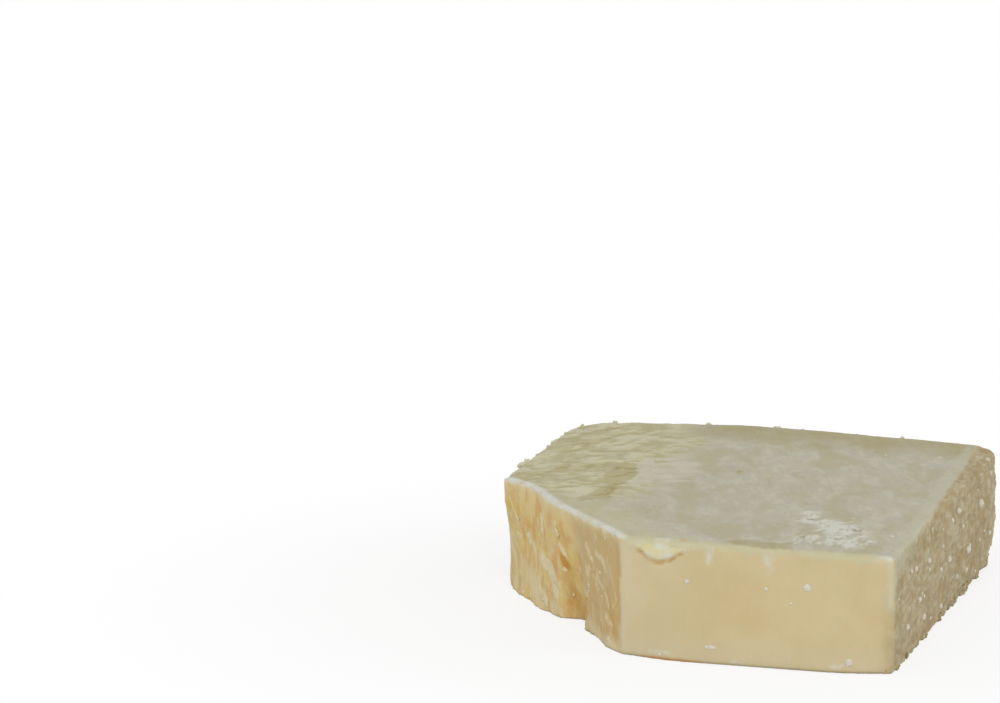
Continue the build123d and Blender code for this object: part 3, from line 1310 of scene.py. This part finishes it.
    def rims(self, recipe: Recipe, colour: bpy.types.NodeSocket) -> bpy.types.NodeSocket:
        """The pale bands where two faces meet.

        Args:
            recipe: The material being written.
            colour: The colour so far.

        Returns:
            The colour with the bands.
        """
        broken_up = recipe.range(recipe.noise(3.0, 4.0), 0.30, 0.58, 0.40, 1.0)
        bands = (
            (Mark.DARK_CORNER, self.curd, 0.7),
            (Mark.SOFT_CORNER, self.frost, 0.8),
            (Mark.MOULDED_RIM, self.frost, 0.8),
            (Mark.CUT_RIM, self.cream, 0.95),
            (Mark.CORNER_LINE, self.paste_pale, 0.8),
            (Mark.TORN_RIM, self.lace, 1.0),
        )
        for mark, tint, most in bands:
            share = recipe.math("MULTIPLY", recipe.mask(mark), broken_up)
            colour = recipe.mix(recipe.math("MULTIPLY", share, most), colour, tint)
        # Stains, and the painted contact shadow along the foot of the front face.
        return recipe.mix(recipe.part(Mark.STAIN, 0.9), colour, self.stain_and_shadow)

    def surface(self, recipe: Recipe) -> None:
        """Roughness, fine relief and depth.

        Args:
            recipe: The material being written.
        """
        dry = recipe.math("MAXIMUM", recipe.mask(Skin.TOP), recipe.mask(Skin.MOULDED))
        patchy = recipe.range(recipe.noise(5.0, 4.0), 0.3, 0.7, 0.42, 0.58)
        rough = recipe.math("ADD", recipe.math("MULTIPLY", dry, 0.22), patchy)
        recipe.link(rough, recipe.shader.inputs["Roughness"])
        recipe.shader.inputs["Specular IOR Level"].default_value = 0.35
        rub = recipe.noise(0.45, 4.0, (2, 1, 1), (0, 0, -17), 0.6)
        recipe.bump(recipe.mix(dry, recipe.noise(0.7, 3.0, (1, 1, 3)), rub), 0.10, 0.7)
        recipe.fleshy(0.22, 2.2)


@dataclass(frozen=True)
class Chalky:
    """The finish of salt-white crystals."""

    name: str = "chalk_crystal"
    white: Colour = paint(216, 211, 198)
    shade: Colour = paint(202, 194, 176)

    def material(self) -> bpy.types.Material:
        """Builds the material.

        Returns:
            The finished material.
        """
        recipe = Recipe.start(self.name)
        cloud = recipe.range(recipe.noise(0.6, 3.0), 0.35, 0.65)
        recipe.link(recipe.mix(cloud, self.white, self.shade), recipe.shader.inputs["Base Color"])
        recipe.link(recipe.range(cloud, 0.0, 1.0, 0.5, 0.75), recipe.shader.inputs["Roughness"])
        recipe.bump(recipe.noise(0.25, 3.0), 0.06)
        recipe.fleshy(0.2, 0.8)
        return recipe.material


@dataclass(frozen=True)
class Crumbly:
    """The finish of loose crumbs and flakes of paste."""

    name: str = "loose_paste"
    light: Colour = paint(212, 208, 188)
    deep: Colour = paint(196, 187, 152)

    def material(self) -> bpy.types.Material:
        """Builds the material.

        Returns:
            The finished material.
        """
        recipe = Recipe.start(self.name)
        cloud = recipe.range(recipe.noise(1.4, 4.0), 0.35, 0.65)
        recipe.link(recipe.mix(cloud, self.light, self.deep), recipe.shader.inputs["Base Color"])
        recipe.link(recipe.range(cloud, 0.0, 1.0, 0.55, 0.7), recipe.shader.inputs["Roughness"])
        recipe.bump(recipe.noise(0.4, 3.0), 0.08)
        recipe.fleshy(0.2, 1.2)
        return recipe.material


@dataclass(frozen=True)
class Bit:
    """One lump: where it sits, its half sizes, which way is out and which way its length lies."""

    place: np.ndarray
    half: tuple[float, float, float]
    out: np.ndarray
    along: np.ndarray

    def axes(self) -> np.ndarray:
        """The lump's length, width and outward directions, as columns."""
        out = self.out / np.linalg.norm(self.out)
        width = np.cross(out, self.along)
        width /= np.linalg.norm(width)
        return np.stack([np.cross(width, out), width, out], axis=1)


@dataclass
class Scatter:
    """Many small lumps joined into one piece."""

    name: str
    finish: Chalky | Crumbly
    rough: float
    seed: int
    bits: list[Bit] = field(default_factory=list)

    def add(self, bit: Bit) -> None:
        """Keeps one more lump."""
        self.bits.append(bit)

    def build(self) -> None:
        """Makes the piece: every lump is a ball that is squeezed, roughened and set in place."""
        ball = bmesh.new()
        bmesh.ops.create_icosphere(ball, subdivisions=3, radius=1.0)
        shape = np.array([vertex.co[:] for vertex in ball.verts])
        faces = np.array([[vertex.index for vertex in face.verts] for face in ball.faces])
        ball.free()
        grain = Grain(self.seed)
        points = []
        corners = []
        for index, bit in enumerate(self.bits):
            lump = shape * (1 + self.rough * grain.fractal(shape * 1.3 + 5.7 * index, 3)[:, None])
            points.append((lump * np.array(bit.half)) @ bit.axes().T + bit.place)
            corners.append(faces + index * len(shape))
        places = np.concatenate(points)
        places[:, 2] = np.maximum(places[:, 2], 0.0)
        mesh = bpy.data.meshes.new(self.name)
        mesh.from_pydata((places + Slab().middle) * MM, [], np.concatenate(corners))
        mesh.materials.append(self.finish.material())
        mesh.shade_smooth()
        piece = bpy.data.objects.new(self.name, mesh)
        bpy.context.scene.collection.objects.link(piece)
        settle(piece)


@dataclass
class Seeds:
    """Picks places for crystals and crumbs on the finished block."""

    block: Block
    rng: np.random.Generator = field(default_factory=lambda: np.random.default_rng(7))

    def nearest(self, place: tuple[float, float, float]) -> int:
        """The block's point that lies nearest to a place in mm."""
        return int(np.argmin(np.sum((self.block.surface.places - np.array(place)) ** 2, axis=1)))

    def some(self, weights: np.ndarray, count: int) -> np.ndarray:
        """Draws points at random.

        Args:
            weights: How likely each point is.
            count: How many to draw.

        Returns:
            Their numbers.
        """
        return self.rng.choice(len(weights), count, replace=False, p=weights / weights.sum())

    def bit(self, index: int, half: tuple[float, float, float], sink: float,
            along: np.ndarray | None = None) -> Bit:
        """A lump set into the block at one of its points.

        Args:
            index: The point.
            half: The lump's half sizes in mm.
            sink: How far its middle lies under the surface, as a share of its half height.
            along: Which way its length lies, or None for any way.

        Returns:
            The lump.
        """
        out = self.block.surface.normals[index]
        place = self.block.surface.places[index] - out * half[2] * sink
        any_way = self.rng.normal(size=3)
        return Bit(place, half, out, any_way if along is None else along)


@dataclass
class Crystals:
    """White crystals that grow in ripe cheddar, thickest on the moulded sides."""

    block: Block
    on_front: tuple[tuple[float, float, float, float], ...] = (
        (5.1, 18.0, 0.62, 0.62), (23.1, 17.9, 0.48, 0.45), (32.6, 18.5, 0.90, 0.90),
        (11.0, 4.0, 1.25, 0.50), (42.0, 2.4, 0.95, 0.85), (-0.7, 1.4, 0.45, 0.35),
        (28.8, 14.6, 0.35, 0.30), (39.3, 1.1, 0.80, 0.40),
    )
    on_side: tuple[tuple[float, float, float], ...] = (
        (31.0, 20.4, 1.05), (9.0, 23.3, 0.75), (55.0, 11.5, 0.8), (19.5, 11.3, 1.0),
        (43.0, 10.4, 0.7), (54.0, 6.4, 0.8), (-1.0, 13.9, 0.8), (-33.5, 18.8, 0.7),
        (-24.5, 5.3, 0.85), (-6.0, 3.7, 0.7), (-43.5, 7.9, 0.75), (-29.5, 10.7, 0.75),
    )
    on_top: tuple[tuple[float, float, float], ...] = (
        (47.4, -38.4, 0.6), (42.6, 39.0, 0.5), (30.0, 37.0, 0.35), (36.0, -25.0, 0.45),
    )
    loose_on_sides: int = 76
    loose_on_break: int = 8

    def build(self) -> None:
        """Places the crystals and makes the piece."""
        seeds = Seeds(self.block)
        scatter = Scatter("crystals", Chalky(), 0.18, 71)
        slab = self.block.slab
        across = np.array([1.0, 0.0, 0.0])
        for x, z, width, height in self.on_front:
            index = seeds.nearest((x, slab.front - 1.0, z))
            scatter.add(seeds.bit(index, (width, height, 0.3), 0.2, across))
        for y, z, size in self.on_side:
            half = (0.98 * size, 0.98 * size, 0.80 * size)
            scatter.add(seeds.bit(seeds.nearest((slab.right, y, z)), half, -0.2))
        for x, y, size in self.on_top:
            scatter.add(seeds.bit(seeds.nearest((x, y, 28.0)), (size, size, size * 0.5), 0.4))
        moulded = self.block.masks[Skin.MOULDED] > 0.8
        for index in seeds.some(moulded.astype(float), self.loose_on_sides):
            size = 0.20 + 0.50 * seeds.rng.random() ** 2.2
            scatter.add(seeds.bit(index, (size, size * 1.1, size * 0.7), 0.2))
        torn = self.block.masks[Skin.BROKEN] > 0.9
        for index in seeds.some(torn.astype(float), self.loose_on_break):
            size = 0.18 + 0.25 * seeds.rng.random()
            scatter.add(seeds.bit(index, (size, size * 1.4, size * 0.5), 0.4))
        scatter.build()


@dataclass
class Crumbs:
    """Crumbs that cling to the rims at the left and the rear and to the foot of the right side."""

    block: Block
    on_rims: int = 60
    on_foot: int = 60
    large: tuple[tuple[float, float, float, float], ...] = (
        (-52.5, 7.3, 28.0, 1.1), (-52.0, 11.1, 28.0, 1.0), (-51.0, 54.0, 28.5, 0.9),
        (-42.0, 56.5, 29.0, 0.8), (-18.0, 56.5, 29.5, 0.8), (-0.6, 56.5, 29.5, 1.1),
        (18.7, 56.5, 29.0, 0.8), (29.7, 56.5, 29.0, 0.7),
    )
    large_on_foot: tuple[tuple[float, float], ...] = (
        (54.0, 1.7), (50.0, 1.2), (38.0, 1.1), (25.4, 1.6),
        (21.0, 1.3), (9.6, 1.3), (-5.7, 1.3), (-23.0, 1.2),
    )

    def build(self) -> None:
        """Makes the crumbs on the rims, then those along the foot."""
        seeds = Seeds(self.block, np.random.default_rng(19))
        self.rims(seeds)
        self.foot(seeds)

    def rims(self, seeds: Seeds) -> None:
        """Places the crumbs on the left and rear rims and makes their piece.

        Args:
            seeds: What draws their places.
        """
        scatter = Scatter("crumbs", Crumbly(), 0.55, 83)
        slab = self.block.slab
        x, y, _ = self.block.surface.places.T
        band = self.block.masks[Mark.CUT_RIM] * (x < slab.left + 2.5)
        band = np.maximum(band, self.block.masks[Mark.MOULDED_RIM] * (y > slab.rear - 3.0))
        for index in seeds.some(band ** 2, self.on_rims):
            size = 0.14 + 0.50 * seeds.rng.random() ** 4
            half = (size * 1.3, size, size * (0.5 + 0.5 * seeds.rng.random()))
            scatter.add(seeds.bit(index, half, 0.3))
        for x_at, y_at, z_at, size in self.large:
            index = seeds.nearest((x_at, y_at, z_at))
            scatter.add(seeds.bit(index, (size, 0.8 * size, 0.75 * size), -0.3))
        scatter.build()

    def foot(self, seeds: Seeds) -> None:
        """Places the crumbs along the foot of the right side and makes their piece.

        Args:
            seeds: What draws their places.
        """
        finish = Crumbly("foot_paste", RipeCheddar.curd_pale, RipeCheddar.curd_deep)
        scatter = Scatter("foot_crumbs", finish, 0.60, 89)
        slab = self.block.slab
        x, _, z = self.block.surface.places.T
        for y_at, size in self.large_on_foot:
            index = seeds.nearest((slab.right + 0.6, y_at, 0.6))
            scatter.add(seeds.bit(index, (1.3 * size, size, 0.8 * size), 0.5))
        foot = (z < 1.2) & (z > 0.1) & (x > slab.right - 2.0)
        for index in seeds.some(foot.astype(float), self.on_foot):
            size = 0.20 + 0.50 * seeds.rng.random() ** 2
            scatter.add(seeds.bit(index, (size * 1.2, size, size * 0.8), 0.3))
        scatter.build()


@dataclass
class Bloom:
    """Chalky flakes on the top skin over the right end of the front face."""

    block: Block
    flakes: int = 60

    def build(self) -> None:
        """Places the chalky flakes and makes the piece."""
        seeds = Seeds(self.block, np.random.default_rng(29))
        finish = Chalky("bloom_flake", paint(204, 203, 188), paint(190, 186, 164))
        scatter = Scatter("bloom_flakes", finish, 0.6, 97)
        weights = self.block.masks[Mark.BLOOM] ** 2
        for index in seeds.some(weights, self.flakes):
            size = 0.25 + 0.55 * seeds.rng.random() ** 2
            scatter.add(seeds.bit(index, (size * 1.2, size, size * 0.30), 0.5))
        scatter.build()


@dataclass
class Flakes:
    """Small pale chips that stand out of the broken face, all leaning the same way."""

    block: Block
    chips: int = 36

    def build(self) -> None:
        """Places the chips and makes the piece."""
        seeds = Seeds(self.block, np.random.default_rng(43))
        finish = Crumbly("torn_flake", paint(222, 212, 178), paint(212, 192, 142))
        scatter = Scatter("torn_flakes", finish, 0.45, 51)
        slab = self.block.slab
        lean = math.radians(self.block.flake_lean)
        lie = slab.run * math.sin(lean) + np.array([0.0, 0.0, math.cos(lean)])
        torn = self.block.masks[Skin.BROKEN] ** 2 * (0.06 + self.block.masks[Mark.FLAKE] ** 2)
        torn *= self.block.surface.places[:, 2] < 26.0
        for index in seeds.some(torn, self.chips):
            length = 0.35 + 0.9 * seeds.rng.random() ** 2
            sway = lie + 0.15 * seeds.rng.normal(size=3)
            scatter.add(seeds.bit(index, (length, 0.30 + 0.55 * length, 0.20), 0.5, sway))
        scatter.build()


@dataclass(frozen=True)
class Lamp:
    """A square soft light that faces the block: place and size in metres, power in watts."""

    name: str
    place: tuple[float, float, float]
    size: float
    power: float

    def hang(self) -> None:
        """Puts the light in the scene."""
        data = bpy.data.lights.new(self.name, "AREA")
        data.size = self.size
        data.energy = self.power
        lamp = bpy.data.objects.new(self.name, data)
        lamp.location = self.place
        lamp.rotation_euler = (-Vector(self.place)).to_track_quat("-Z", "Y").to_euler()
        bpy.context.scene.collection.objects.link(lamp)


@dataclass
class Studio:
    """The pale floor, the soft lights and the camera."""

    lens: float = 171.9
    sensor: float = 36.0
    camera_place: tuple[float, float, float] = (256.8, -1056.4, 268.9)
    heading: float = 16.44
    pitch: float = 10.93
    view_end: float = 20.0
    ambient: float = 0.62
    lamps: tuple[Lamp, ...] = (
        Lamp("key", (0.30, -1.15, 1.0), 0.9, 8.5),
        Lamp("fill", (1.3, 0.1, 0.7), 0.9, 2.2),
    )
    floor_radius: float = 3000.0
    floor_pale: Colour = paint(247, 247, 246)
    floor_shade: Colour = paint(244, 244, 243)
    fade_from: float = 70.0
    fade_to: float = 170.0
    fade_near: float = 0.78
    slab: Slab = field(default_factory=Slab)

    def camera(self) -> None:
        """Stands the camera in front of the block, a little to its right and above it."""
        data = bpy.data.cameras.new("camera")
        data.lens = self.lens
        data.sensor_width = self.sensor
        data.clip_end = self.view_end
        eye = bpy.data.objects.new("camera", data)
        eye.location = (np.array(self.camera_place) + self.slab.middle) * MM
        eye.rotation_euler = (math.radians(90 - self.pitch), 0, math.radians(self.heading))
        bpy.context.scene.collection.objects.link(eye)
        bpy.context.scene.camera = eye

    def seen_directly(self, tree: bpy.types.NodeTree) -> bpy.types.NodeSocket:
        """Tells the camera's view, and what it sees in or through gloss, from other light.

        Args:
            tree: The nodes to add to.

        Returns:
            1 for what is seen and 0 for other light.
        """
        path = tree.nodes.new("ShaderNodeLightPath")
        total = path.outputs["Is Camera Ray"]
        for name in ("Is Glossy Ray", "Is Transmission Ray"):
            either = tree.nodes.new("ShaderNodeMath")
            either.operation = "MAXIMUM"
            tree.links.new(total, either.inputs[0])
            tree.links.new(path.outputs[name], either.inputs[1])
            total = either.outputs[0]
        return total

    def surround(self) -> None:
        """Hangs a white surround that sheds an even light."""
        world = bpy.data.worlds.new("surround")
        bpy.context.scene.world = world
        world.use_nodes = True
        tree = world.node_tree
        background = tree.nodes["Background"]
        background.inputs["Color"].default_value = (1, 1, 1, 1)
        strength = tree.nodes.new("ShaderNodeMapRange")
        strength.inputs["To Min"].default_value = self.ambient
        strength.inputs["To Max"].default_value = 1.0
        tree.links.new(self.seen_directly(tree), strength.inputs["Value"])
        tree.links.new(strength.outputs["Result"], background.inputs["Strength"])

    def floor_material(self) -> bpy.types.Material:
        """Builds the floor's finish, which turns to the surround's white away from the block.

        Returns:
            The finished material.
        """
        recipe = Recipe.start("pale_floor")
        shade = recipe.range(recipe.noise(60.0, 2.0), 0.3, 0.7)
        colour = recipe.mix(shade, self.floor_pale, self.floor_shade)
        recipe.link(colour, recipe.shader.inputs["Base Color"])
        recipe.shader.inputs["Roughness"].default_value = 0.9
        glow = recipe.node("ShaderNodeEmission")
        blend = recipe.node("ShaderNodeMixShader")
        far = recipe.node("ShaderNodeVectorMath", operation="LENGTH")
        recipe.link(recipe.coordinates, far.inputs[0])
        fade = recipe.range(
            far.outputs["Value"], self.fade_from * MM, self.fade_to * MM, self.fade_near, 1.0
        )
        tree = recipe.material.node_tree
        recipe.link(recipe.math("MULTIPLY", fade, self.seen_directly(tree)), blend.inputs[0])
        recipe.link(recipe.shader.outputs[0], blend.inputs[1])
        recipe.link(glow.outputs[0], blend.inputs[2])
        recipe.link(blend.outputs[0], tree.nodes["Material Output"].inputs["Surface"])
        return recipe.material

    def floor(self) -> None:
        """Lays the round pale floor."""
        work = bmesh.new()
        bmesh.ops.create_circle(work, cap_ends=True, segments=96, radius=self.floor_radius * MM)
        mesh = bpy.data.meshes.new("floor")
        work.to_mesh(mesh)
        work.free()
        mesh.materials.append(self.floor_material())
        piece = bpy.data.objects.new("floor", mesh)
        bpy.context.scene.collection.objects.link(piece)

    def build(self) -> None:
        """Sets up the whole studio."""
        bpy.context.scene.view_settings.view_transform = "Standard"
        self.camera()
        self.surround()
        self.floor()
        for lamp in self.lamps:
            lamp.hang()


def main() -> None:
    """Builds the block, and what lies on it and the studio."""
    logging.basicConfig(level=logging.INFO, format="%(name)s %(message)s")
    block = Block()
    block.build()
    Crystals(block).build()
    Crumbs(block).build()
    Bloom(block).build()
    Flakes(block).build()
    Studio().build()
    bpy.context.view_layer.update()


if __name__ == "__main__":
    main()
